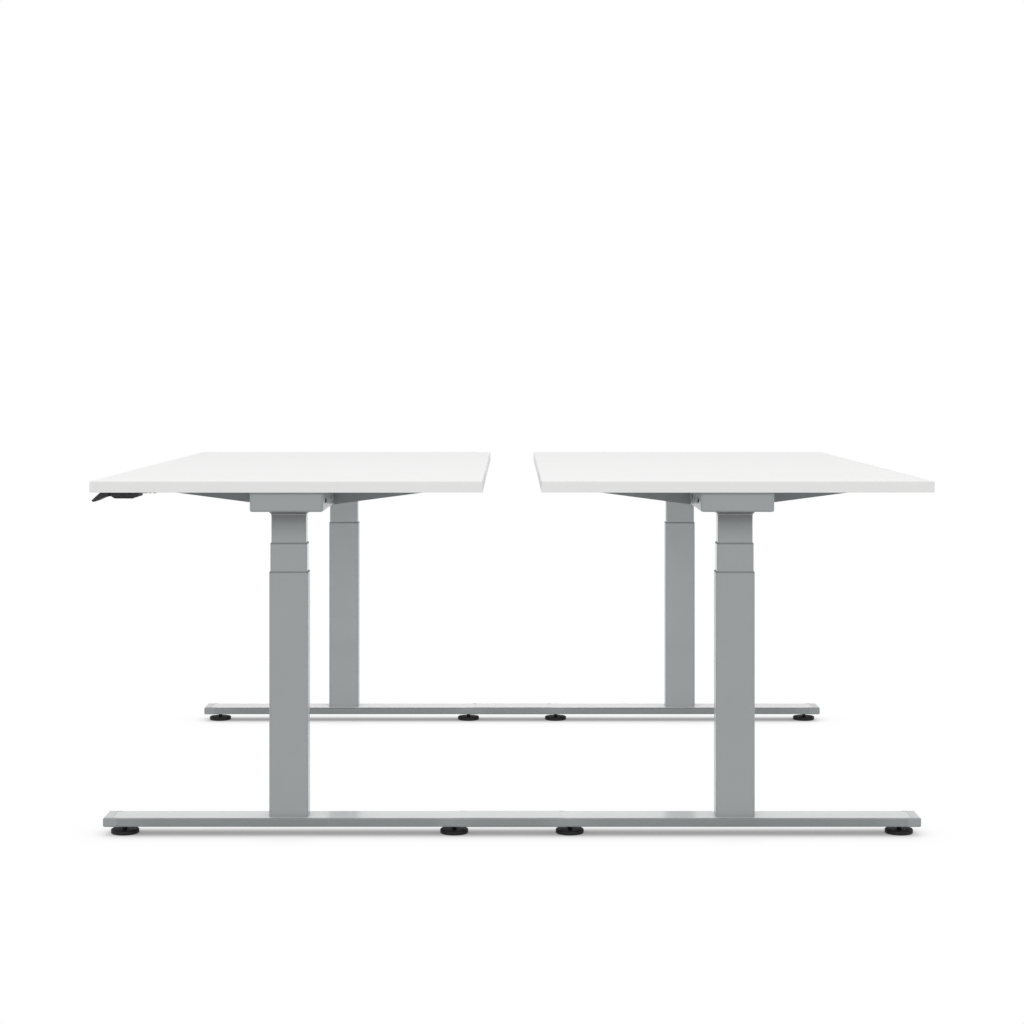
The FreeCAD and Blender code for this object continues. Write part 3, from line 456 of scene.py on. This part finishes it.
FINISHES: tuple[Finish, ...] = (
    FacedBoard("top_white", (0.87, 0.87, 0.865), 0.42),
    PowderCoat("silver_coat", (0.334, 0.3565, 0.3635), 0.4, metallic=0.1, coat=0.5),
    # Darker copy of the silver coat: painted shade on the upper stages, with painted shade and a painted
    # highlight under the head box.
    StageCoat("shaded_stage_coat", (0.318, 0.3395, 0.346), 0.4, metallic=0.1, coat=1.0),
    PowderCoat("pressed_coat", (0.33, 0.352, 0.358), 0.45, coat=0.6, coat_roughness=0.2),
    # Darker copy of the silver coat with less reflection: painted shade on the arms and crossbars under
    # the tops.
    PowderCoat("shaded_arm_coat", (0.305, 0.327, 0.335), 0.55, specular=0.35),
    # Much darker copy of the silver coat: painted shade on the feet close to the floor, lightened by the
    # levelling feet as painted light.
    RailCoat(
        "rail_coat", (0.192, 0.207, 0.212), 0.3,
        metallic=0.1, coat=1.0, coat_roughness=0.1, sheen=0.9,
    ),
    PowderCoat(
        "silver_plastic", (0.275, 0.295, 0.301), 0.4,
        metallic=0.2, coat=0.8, coat_roughness=0.15, sheen=0.35,
    ),
    MouldedPlastic("collar_plastic", (0.21, 0.222, 0.226), 0.5),
    MouldedPlastic("foot_black", (0.013, 0.0134, 0.0142), 0.6, specular=0.3, grip=0.06),
    PlatedSteel(STEEL, (0.62, 0.62, 0.64), 0.3),
    PowderCoat("motor_dark", (0.03, 0.03, 0.033), 0.45, flake=0.02),
    MouldedPlastic("control_plastic", (0.02, 0.02, 0.023), 0.5),
    MouldedPlastic("handset_plastic", (0.042, 0.0435, 0.049), 0.55, specular=0.3),
    MouldedPlastic("lead_grey", (0.3, 0.3, 0.3), 0.5, texture=900.0),
)


class FinishRack:
    """The finishes as materials, each made once."""

    own_finish: ClassVar[dict[str, str]] = {
        "head_box": "pressed_coat",
        # The arms and crossbars take the darker copy of the coat as painted shade.
        "support_arms": "shaded_arm_coat",
        "crossbars": "shaded_arm_coat",
        # The feet take the darker copy of the coat with painted shade and painted light.
        "foot_rails": "rail_coat",
        "foot_joints": "rail_coat",
        # The upper stages take the copy of the coat with painted shade and highlight.
        "inner_tube": "shaded_stage_coat",
        "middle_tube_front": "shaded_stage_coat",
        "middle_tube_rear": "shaded_stage_coat",
    }

    def __init__(self, finishes: Iterable[Finish]) -> None:
        """Makes the materials.

        Args:
            finishes: The finishes of the object.
        """
        self.materials = {finish.slot: finish.material() for finish in finishes}

    def dress_nodes(self) -> None:
        """Gives every solid of the frame its own finish, or the one that the record names for it."""
        for row in frame["record"]["subparts"]:
            node, name = row["node"], row["material_slot"]
            for start, own in self.own_finish.items():
                if node.startswith(start):
                    name = own
            mesh = frame["nodes"][node].data
            mesh.materials.clear()
            mesh.materials.append(self.materials[name])
            LOG.info("%s: %s", node, name)


class ShapeBench(Bench):
    """A geometry tree with named inputs, whose result is made a plain piece."""

    def __init__(self, name: str, sizes: dict[str, float]) -> None:
        """Makes the tree with one input for each size.

        Args:
            name: The tree's name.
            sizes: The names and values of its sizes, in metres.
        """
        super().__init__(bpy.data.node_groups.new(name, "GeometryNodeTree"))
        self.tree.interface.new_socket("Geometry", in_out="OUTPUT", socket_type="NodeSocketGeometry")
        self.named_input("Geometry", "NodeSocketGeometry")
        self.sizes = sizes
        self.keys = {size: self.named_input(size, "NodeSocketFloat") for size in sizes}
        self.material_key = self.named_input("Material", "NodeSocketMaterial")
        self.given = self.node("NodeGroupInput").outputs

    def named_input(self, name: str, kind: str) -> str:
        """Adds an input to the tree and gives its identifier."""
        return self.tree.interface.new_socket(name, in_out="INPUT", socket_type=kind).identifier

    def moved(self, shape: Socket, x: Any = 0.0, y: Any = 0.0, z: Any = 0.0) -> Socket:
        """Moves a shape by numbers or sockets."""
        shift = self.node("ShaderNodeCombineXYZ", {0: x, 1: y, 2: z}).outputs[0]
        return self.node("GeometryNodeTransform", {"Geometry": shape, "Translation": shift}).outputs[0]

    def cylinder(self, radius: Any, depth: Any, corners: int, rings: int = 1) -> Socket:
        """Adds an upright cylinder about the middle.

        Args:
            radius: Its radius.
            depth: Its height.
            corners: How many corners it has.
            rings: How many rings its ends have.

        Returns:
            The cylinder.
        """
        inputs = {"Vertices": corners, "Fill Segments": rings, "Radius": radius, "Depth": depth}
        return self.node("GeometryNodeMeshCylinder", inputs, fill_type="TRIANGLE_FAN").outputs["Mesh"]

    def block(self, width: Any, length: Any, height: Any) -> Socket:
        """Adds a block about the middle."""
        size = self.node("ShaderNodeCombineXYZ", {0: width, 1: length, 2: height}).outputs[0]
        return self.node("GeometryNodeMeshCube", {"Size": size}).outputs["Mesh"]

    def joined(self, *shapes: Socket) -> Socket:
        """Joins shapes into one.

        Args:
            shapes: The shapes.

        Returns:
            The joined shape.
        """
        join = self.node("GeometryNodeJoinGeometry")
        for shape in shapes:
            self.tree.links.new(shape, join.inputs[0])
        return join.outputs[0]

    def close(self, shape: Socket) -> None:
        """Repeats a shape at every point that the tree is given and ends the tree.

        Args:
            shape: The shape to repeat.
        """
        inputs = {"Points": self.given["Geometry"], "Instance": shape}
        repeated = self.node("GeometryNodeInstanceOnPoints", inputs).outputs[0]
        real = self.node("GeometryNodeRealizeInstances", {0: repeated}).outputs[0]
        inputs = {"Geometry": real, "Material": self.given["Material"]}
        finished = self.node("GeometryNodeSetMaterial", inputs).outputs[0]
        self.node("NodeGroupOutput", {"Geometry": finished})

    def piece(self, name: str, points: list[Point], material: bpy.types.Material) -> bpy.types.Object:
        """Runs the tree on points and keeps the result as a plain mesh.

        Args:
            name: The piece's name.
            points: Where the shape is repeated.
            material: The piece's finish.

        Returns:
            The piece, at the origin.
        """
        seed = bpy.data.meshes.new(f"{name}_points")
        seed.from_pydata(points, [], [])
        made = bpy.data.objects.new(name, seed)
        bpy.context.scene.collection.objects.link(made)
        run = made.modifiers.new("shape", "NODES")
        run.node_group = self.tree
        for size, value in self.sizes.items():
            run[self.keys[size]] = value
        run[self.material_key] = material
        graph = bpy.context.evaluated_depsgraph_get()
        mesh = bpy.data.meshes.new_from_object(made.evaluated_get(graph))
        made.modifiers.remove(run)
        made.data = mesh
        mesh.name = name
        bpy.data.meshes.remove(seed)
        return made


@dataclass(frozen=True)
class ScrewKind:
    """The sizes of one kind of screw, head down and shank up."""

    head: float
    head_height: float
    dome: float
    shank: float
    length: float
    recess: Recess
    recess_width: float
    recess_depth: float
    cross_arm: float = 0.001
    head_corners: int = 32
    head_rings: int = 4
    shank_corners: int = 16

    def bench(self, name: str) -> ShapeBench:
        """Builds the geometry tree that repeats this screw.

        Args:
            name: The tree's name.

        Returns:
            The finished tree.
        """
        shape = ShapeBench(name, {
            "Head Radius": self.head / 2,
            "Head Height": self.head_height,
            "Dome": self.dome,
            "Shank Radius": self.shank / 2,
            "Shank Length": self.length,
            "Recess Width": self.recess_width,
            "Recess Depth": self.recess_depth,
            "Cross Arm": self.cross_arm,
        })
        given = shape.given
        thickness = given["Head Height"]
        low = shape.maths("MULTIPLY", thickness, -1.0)
        half = shape.maths("MULTIPLY", thickness, -0.5)
        plain = shape.cylinder(given["Head Radius"], thickness, self.head_corners, self.head_rings)
        head = self.domed(shape, shape.moved(plain, z=half), half)
        cut = shape.moved(self.cutter(shape), z=low)
        inputs = {"Mesh 1": head, "Mesh 2": cut}
        head = shape.node("GeometryNodeMeshBoolean", inputs, operation="DIFFERENCE").outputs[0]
        middle = shape.maths("MULTIPLY", given["Shank Length"], 0.5)
        shank = shape.cylinder(given["Shank Radius"], given["Shank Length"], self.shank_corners)
        shape.close(shape.joined(head, shape.moved(shank, z=middle)))
        return shape

    def domed(self, shape: ShapeBench, head: Socket, half: Socket) -> Socket:
        """Rounds the underside of a head.

        Args:
            shape: The tree.
            head: The plain head.
            half: The height of its middle.

        Returns:
            The rounded head.
        """
        place = shape.node("GeometryNodeInputPosition").outputs[0]
        axes = shape.node("ShaderNodeSeparateXYZ", {0: place}).outputs
        flat = shape.node("ShaderNodeCombineXYZ", {0: axes[0], 1: axes[1]}).outputs[0]
        out = shape.node("ShaderNodeVectorMath", {0: flat}, operation="LENGTH").outputs["Value"]
        share = shape.maths("POWER", shape.maths("DIVIDE", out, shape.given["Head Radius"]), 2.0)
        rise = shape.maths("MULTIPLY", share, shape.given["Dome"])
        shift = shape.node("ShaderNodeCombineXYZ", {2: rise}).outputs[0]
        below = shape.maths("LESS_THAN", axes[2], half)
        inputs = {"Geometry": head, "Selection": below, "Offset": shift}
        return shape.node("GeometryNodeSetPosition", inputs).outputs[0]

    def cutter(self, shape: ShapeBench) -> Socket:
        """Makes what the recess is cut with, about the head's lowest point.

        Args:
            shape: The tree.

        Returns:
            The cutter.
        """
        width, arm = shape.given["Recess Width"], shape.given["Cross Arm"]
        height = shape.maths("MULTIPLY", shape.given["Recess Depth"], 2.0)
        if self.recess is Recess.HEXAGON:
            radius = shape.maths("MULTIPLY", width, 1.0 / math.sqrt(3.0))
            return shape.cylinder(radius, height, 6)
        return shape.joined(shape.block(width, arm, height), shape.block(arm, width, height))


@dataclass(frozen=True)
class StudThread:
    """The thread round a levelling foot's stud."""

    radius: float = 0.004
    pitch: float = 0.00125
    length: float = 0.0145
    ridge: float = 0.00022
    steps_per_turn: int = 24
    ridge_corners: int = 4

    def bench(self) -> ShapeBench:
        """Builds the geometry tree of the thread: a spiral with a small section swept along it.

        Returns:
            The finished tree.
        """
        shape = ShapeBench("stud_thread", {
            "Radius": self.radius,
            "Pitch": self.pitch,
            "Length": self.length,
            "Ridge": self.ridge,
        })
        given = shape.given
        spiral = shape.node("GeometryNodeCurveSpiral", {
            "Resolution": self.steps_per_turn,
            "Rotations": shape.maths("DIVIDE", given["Length"], given["Pitch"]),
            "Start Radius": given["Radius"],
            "End Radius": given["Radius"],
            "Height": given["Length"],
        }).outputs[0]
        inputs = {"Resolution": self.ridge_corners, "Radius": given["Ridge"]}
        section = shape.node("GeometryNodeCurvePrimitiveCircle", inputs).outputs[0]
        inputs = {"Curve": spiral, "Profile Curve": section, "Fill Caps": True}
        shape.close(shape.node("GeometryNodeCurveToMesh", inputs).outputs[0])
        return shape


@dataclass(frozen=True)
class InletPins:
    """The flat pins inside a mains inlet."""

    width: float = 0.004
    height: float = 0.002
    length: float = 0.0135

    def bench(self) -> ShapeBench:
        """Builds the geometry tree that repeats a pin.

        Returns:
            The finished tree.
        """
        sizes = {"Width": self.width, "Height": self.height, "Length": self.length}
        shape = ShapeBench("inlet_pins", sizes)
        given = shape.given
        shape.close(shape.block(given["Height"], given["Length"], given["Width"]))
        return shape


def carried(piece: bpy.types.Object, body: str, slot: str, *nodes: str) -> None:
    """Sets a new piece on its body, and hides the solids that it stands for.

    Args:
        piece: The piece.
        body: The body that it moves with.
        slot: Its finish in the record; not used.
        nodes: The solids that it replaces.
    """
    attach(piece, body)
    if nodes:
        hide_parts(*nodes)
    LOG.info("%s rides on %s", piece.name, body)


@dataclass
class Feet:
    """The two feet: the screws up into the columns and the threads of the levelling feet."""

    rack: FinishRack
    column_x: float = 0.46
    column_y: float = 0.725
    screw_x: float = 0.026
    screw_y: float = 0.015
    screw_seat: float = 0.0358
    stud_bottom: float = 0.0197
    thread: StudThread = StudThread()
    bolt: ScrewKind = ScrewKind(
        head=0.013, head_height=0.005, dome=0.0004, shank=0.008, length=0.006,
        recess=Recess.HEXAGON, recess_width=0.005, recess_depth=0.003,
    )

    def screw_points(self) -> Iterator[Point]:
        """Gives the places of the screws under the columns.

        Yields:
            The seat of each screw.
        """
        for column_x in (-self.column_x, self.column_x):
            for column_y in (-self.column_y, self.column_y):
                for x in (-self.screw_x, self.screw_x):
                    for y in (-self.screw_y, self.screw_y):
                        yield column_x + x, column_y + y, self.screw_seat

    def build(self) -> None:
        """Builds the screws and threads."""
        steel = self.rack.materials[STEEL]
        screws = self.bolt.bench("base_screw").piece("base_screws", list(self.screw_points()), steel)
        carried(screws, "base", STEEL, "column_base_screws")
        thread = self.thread.bench()
        for side, end, station in product(Side, End, Station):
            place = f"{end.value}_{side.value}_{station.value}"
            foot = f"levelling_foot_{place}"
            low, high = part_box(foot)
            middle = (low + high) / 2
            ridge = thread.piece(f"stud_thread_{place}", [(middle.x, middle.y, self.stud_bottom)], steel)
            carried(ridge, foot, STEEL)


@dataclass
class Underside:
    """What is fixed under one top: its wood screws and the pins of its mains inlet."""

    rack: FinishRack
    side: Side
    centre_x: float = 0.46
    underside: float = 0.708
    arm_line: float = 0.502
    arm_screws: tuple[float, float] = (0.11, 0.25)
    arm_wall: float = 0.0025
    # Screws of the control box and the handset: place across and along, and drop of the seat
    lug: tuple[float, float, float] = (-0.155, 0.129, 0.003)
    handset: tuple[float, float, float] = (-0.34825, -0.665, 0.009)
    handset_pitch: float = 0.02
    inlet: Point = (-0.18, 0.1115, 0.692)
    pin_pitch: float = 0.007
    pin_drop: float = 0.004
    pins: InletPins = InletPins()
    wood_screw: ScrewKind = ScrewKind(
        head=0.008, head_height=0.0025, dome=0.0011, shank=0.004, length=0.018,
        recess=Recess.CROSS, recess_width=0.0042, recess_depth=0.0014,
    )

    def placed(self, x: float, y: float, z: float) -> Point:
        """Turns a place on the desk into the shared frame."""
        facing = self.side.facing
        return (x - self.centre_x) * facing, y * facing, z

    def screw_points(self) -> Iterator[Point]:
        """Gives the places of the wood screws.

        Yields:
            The seat of each screw.
        """
        for along in (-1, 1):
            for x in self.arm_screws:
                for across in (-1, 1):
                    yield self.placed(x * across, self.arm_line * along, self.underside - self.arm_wall)
            x, y, seat = self.lug
            yield self.placed(x, y * along, self.underside - seat)
            x, y, seat = self.handset
            yield self.placed(x, y + self.handset_pitch * along, self.underside - seat)

    def pin_points(self) -> Iterator[Point]:
        """Gives the places of the inlet's pins.

        Yields:
            The middle of each pin.
        """
        x, y, z = self.inlet
        yield self.placed(x, y, z + self.pin_drop / 2)
        for across in (-1, 1):
            yield self.placed(x + self.pin_pitch * across, y, z - self.pin_drop / 2)

    def build(self) -> None:
        """Builds the screws and pins of this desk."""
        steel = self.rack.materials[STEEL]
        name, body = self.side.value, f"{self.side.value}_desk"
        tree = self.wood_screw.bench(f"wood_screw_{name}")
        screws = tree.piece(f"wood_screws_{name}", list(self.screw_points()), steel)
        carried(screws, body, STEEL, f"tabletop_screws_{name}")
        pins = self.pins.bench().piece(f"inlet_pins_{name}", list(self.pin_points()), steel)
        carried(pins, body, STEEL)


@dataclass(frozen=True)
class Lamp:
    """One soft rectangular lamp, which faces down until it is tilted; angles are in degrees."""

    name: str
    power: float
    width: float
    height: float
    place: Point
    tilt: float = 0.0
    spread: float = 180.0

    def build(self) -> None:
        """Hangs the lamp."""
        data = bpy.data.lights.new(self.name, "AREA")
        data.shape = "RECTANGLE"
        data.energy = self.power
        data.size = self.width
        data.size_y = self.height
        data.spread = math.radians(self.spread)
        lamp = bpy.data.objects.new(self.name, data)
        lamp.location = self.place
        lamp.rotation_euler = (math.radians(self.tilt), 0.0, 0.0)
        lamp.visible_camera = False
        lamp.visible_glossy = False
        bpy.context.scene.collection.objects.link(lamp)


@dataclass
class Studio:
    """The white studio: floor, light and camera."""

    floor_half: float = 60.0
    floor_height: float = -0.0003
    floor_albedo: float = 0.5
    contact_reach: float = 0.11
    contact_depth: float = 0.81
    contact_bend: float = 1.5
    contact_samples: int = 16
    sky_strength: float = 0.6
    lamps: tuple[Lamp, ...] = (
        Lamp("top_lamp", 26.0, 5.0, 5.0, (0.0, 0.3, 4.2)),
        Lamp("front_lamp", 252.0, 8.0, 3.0, (0.0, -6.2, 5.6), tilt=50.0),
        Lamp("under_lamp", 5.8, 1.6, 0.3, (0.0, -0.35, 0.2), tilt=96.0),
        Lamp("rail_lamp", 1.45, 1.7, 0.1, (0.0, -0.45, 0.55), tilt=-28.0, spread=60.0),
    )
    camera_place: Point = (0.0, -5.160, 0.9525)
    lens: float = 75.34
    sensor: float = 36.0
    shift_y: float = -0.1363
    sight: float = 200.0

    def build(self) -> None:
        """Sets up everything that isn't part of the object."""
        bpy.context.scene.view_settings.view_transform = "Standard"
        self.build_world()
        self.build_floor()
        for lamp in self.lamps:
            lamp.build()
        self.build_camera()

    @staticmethod
    def split(bench: Bench, for_light: bpy.types.Node, for_sight: bpy.types.Node) -> Socket:
        """Takes one shader for light and another for what is seen, mirrored or looked through.

        Args:
            bench: The node tree.
            for_light: The shader for light.
            for_sight: The shader for what is seen.

        Returns:
            The two as one shader.
        """
        path = bench.node("ShaderNodeLightPath").outputs
        mirrored = bench.maths("MAXIMUM", path["Is Glossy Ray"], path["Is Transmission Ray"])
        seen = bench.maths("MAXIMUM", path["Is Camera Ray"], mirrored)
        inputs = {0: seen, 1: for_light.outputs[0], 2: for_sight.outputs[0]}
        return bench.node("ShaderNodeMixShader", inputs).outputs[0]

    def build_world(self) -> None:
        """Makes the soft sky, which shows as plain white."""
        world = bpy.data.worlds.new("studio")
        world.use_nodes = True
        bench = Bench(world.node_tree)
        light = bench.node("ShaderNodeBackground", {"Color": WHITE, "Strength": self.sky_strength})
        white = bench.node("ShaderNodeBackground", {"Color": WHITE, "Strength": 1.0})
        bench.node("ShaderNodeOutputWorld", {"Surface": self.split(bench, light, white)})
        bpy.context.scene.world = world

    def build_floor(self) -> None:
        """Makes the floor: it is clear, so it shows the white sky, and darkens close under the feet."""
        half, height = self.floor_half, self.floor_height
        points = [(x, y, height) for x, y in ((-half, -half), (half, -half), (half, half), (-half, half))]
        mesh = bpy.data.meshes.new("floor")
        mesh.from_pydata(points, [], [(0, 1, 2, 3)])
        mesh.materials.append(self.floor_material())
        floor = bpy.data.objects.new("floor", mesh)
        bpy.context.scene.collection.objects.link(floor)

    def floor_material(self) -> bpy.types.Material:
        """Makes the floor's material.

        Returns:
            The material.
        """
        material = bpy.data.materials.new("floor")
        material.use_nodes = True
        bench = Bench(material.node_tree)
        albedo = self.floor_albedo
        plain = bench.node("ShaderNodeBsdfDiffuse", {"Color": (albedo, albedo, albedo, 1.0)})
        reach = {"Distance": self.contact_reach}
        free = bench.node("ShaderNodeAmbientOcclusion", reach, samples=self.contact_samples).outputs["AO"]
        covered = bench.maths("POWER", bench.maths("SUBTRACT", 1.0, free), self.contact_bend)
        shade = bench.maths("MULTIPLY_ADD", covered, -self.contact_depth, 1.0)
        clear = bench.node("ShaderNodeBsdfTransparent", {"Color": shade})
        bench.node("ShaderNodeOutputMaterial", {"Surface": self.split(bench, plain, clear)})
        return material

    def build_camera(self) -> None:
        """Sets the level camera at the end of the desks."""
        data = bpy.data.cameras.new("camera")
        data.lens = self.lens
        data.sensor_width = self.sensor
        data.shift_y = self.shift_y
        data.clip_end = self.sight
        camera = bpy.data.objects.new("camera", data)
        camera.location = self.camera_place
        camera.rotation_euler = (math.pi / 2, 0.0, 0.0)
        bpy.context.scene.collection.objects.link(camera)
        bpy.context.scene.camera = camera


def corners(box: tuple[Vector, Vector]) -> list[list[float]]:
    """A box's two corners as plain numbers."""
    return [list(corner) for corner in box]


def main() -> None:
    """Dresses the desk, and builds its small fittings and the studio."""
    logging.basicConfig(level=logging.INFO, format="%(message)s")
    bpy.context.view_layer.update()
    rack = FinishRack(FINISHES)
    rack.dress_nodes()
    Feet(rack).build()
    for side in Side:
        Underside(rack, side).build()
    Studio().build()


if __name__ == "__main__":
    main()
